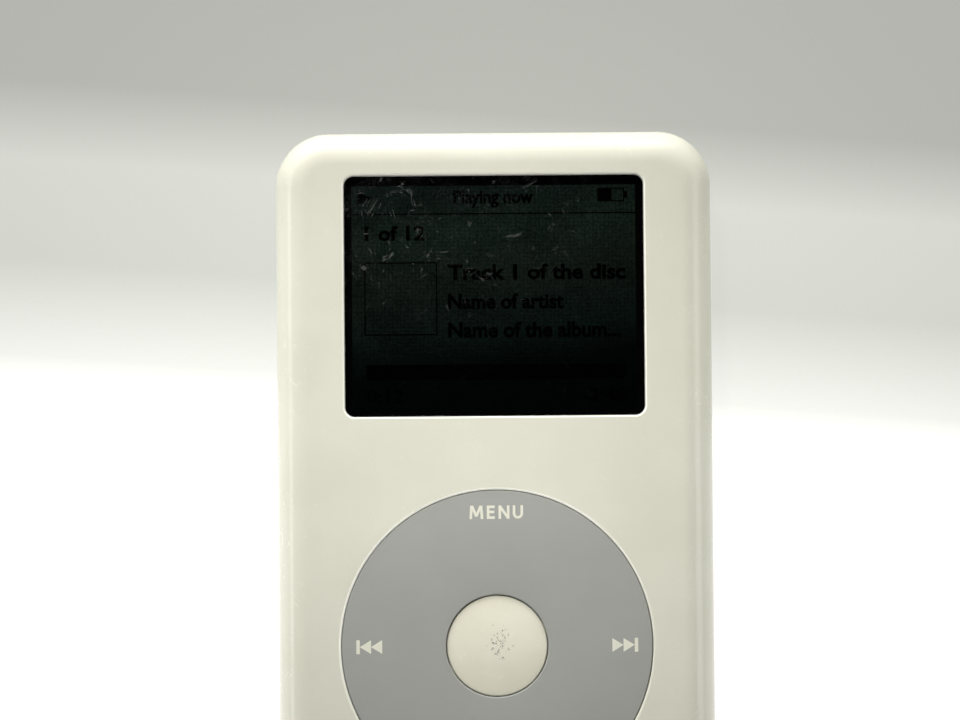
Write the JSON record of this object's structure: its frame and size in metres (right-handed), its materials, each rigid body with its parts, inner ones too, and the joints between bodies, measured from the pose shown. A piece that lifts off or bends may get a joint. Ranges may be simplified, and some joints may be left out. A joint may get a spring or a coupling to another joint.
{
  "type": "digital audio player",
  "caption": "Pocket slab player with a rounded glossy front, polished steel back, colour display under a clear window, rocking touch wheel with centre button, and hold slider.",
  "frame": {"origin": "middle of the polished back, on the surface the player lies on", "axes": "+Z out of the display, +Y towards the headphone end, +X to the right as the display is read"},
  "size_m": [0.061, 0.104, 0.016],
  "materials": {
    "ivory_cover": "gloss moulded",
    "white_trim": "satin moulded",
    "polished_steel": "mirror-polished stainless steel",
    "sheet_steel": "plain rolled sheet",
    "screw_steel": "dark plated",
    "clear_window": "clear gloss",
    "black_foam": "matt",
    "display_glass": "gloss",
    "light_guide": "diffusing",
    "wheel_grey": "fine matt",
    "board_green": "solder mask",
    "chip_black": "matt moulded",
    "flex_amber": "satin film",
    "bumper_blue": "matt",
    "black_rubber": "matt",
    "cell_silver": "satin",
    "cast_metal": "as cast and machined",
    "platter_mirror": "mirror",
    "lead_red": "satin",
    "lead_black": "satin"
  },
  "bodies": {
    "case": {"front_cover": "ivory_cover", "top_plate": "white_trim", "dock_trim": "white_trim", "drive_socket": "white_trim", "battery_plug": "white_trim", "rear_cover": "polished_steel", "clip_rail_left": "sheet_steel", "clip_rail_right": "sheet_steel", "display_frame": "sheet_steel", "mid_frame": "sheet_steel", "wheel_back_plate": "sheet_steel", "headphone_jack": "sheet_steel", "dock_shell": "sheet_steel", "drive_lid": "sheet_steel", "frame_screw_1": "screw_steel", "frame_screw_2": "screw_steel", "frame_screw_3": "screw_steel", "frame_screw_4": "screw_steel", "frame_screw_5": "screw_steel", "frame_screw_6": "screw_steel", "display_window": "clear_window", "display_gasket": "black_foam", "drive_pad": "black_foam", "display_panel": "display_glass", "display_backlight": "light_guide", "main_board": "board_green", "drive_board": "board_green", "processor_chip": "chip_black", "memory_chip": "chip_black", "audio_chip": "chip_black", "power_chip": "chip_black", "remote_socket": "chip_black", "hold_switch": "chip_black", "dock_tongue": "chip_black", "display_flex": "flex_amber", "wheel_flex": "flex_amber", "drive_flex": "flex_amber", "top_flex": "flex_amber", "drive_bumper_left": "bumper_blue", "drive_bumper_right": "bumper_blue", "battery_cell": "cell_silver", "drive_magnet": "cell_silver", "drive_base": "cast_metal", "battery_lead_red": "lead_red", "battery_lead_black": "lead_black"},
    "wheel_pad": {"wheel_rocker_pad": "black_rubber"},
    "wheel": {"wheel_ring": "wheel_grey", "wheel_sensor_board": "board_green", "wheel_sensor_chip": "chip_black", "menu_dome": "sheet_steel", "play_dome": "sheet_steel", "next_dome": "sheet_steel", "previous_dome": "sheet_steel", "select_dome": "sheet_steel"},
    "centre_button": {"select_button": "white_trim"},
    "hold_knob": {"hold_slider": "white_trim"},
    "platter": {"drive_platter": "platter_mirror", "drive_hub": "cast_metal"},
    "arm": {"drive_arm": "cast_metal"}
  },
  "joints": [
    {"name": "lengthwise_rock", "type": "hinge", "parent": "case", "child": "wheel_pad", "pos_m": [0, -0.01965, 0.0122], "axis": [1, 0, 0], "range_deg": [-0.8, 0.8], "stiffness_Nm_per_rad": 2},
    {"name": "side_rock", "type": "hinge", "parent": "wheel_pad", "child": "wheel", "pos_m": [0, -0.01965, 0.0122], "axis": [0, 1, 0], "range_deg": [-0.8, 0.8], "stiffness_Nm_per_rad": 2},
    {"name": "select_press", "type": "slide", "parent": "wheel", "child": "centre_button", "axis": [0, 0, -1], "range_m": [0, 0.00025], "stiffness_N_per_m": 2000, "springref_m": -0.0002},
    {"name": "hold_slide", "type": "slide", "parent": "case", "child": "hold_knob", "axis": [1, 0, 0], "range_m": [0, 0.003]},
    {"name": "platter_spin", "type": "hinge", "parent": "case", "child": "platter", "pos_m": [0, -0.0158, 0.003], "axis": [0, 0, 1], "continuous": true},
    {"name": "arm_swing", "type": "hinge", "parent": "case", "child": "arm", "pos_m": [0.017, 0.018, 0.003], "axis": [0, 0, 1], "range_deg": [0, 28]}
  ]
}
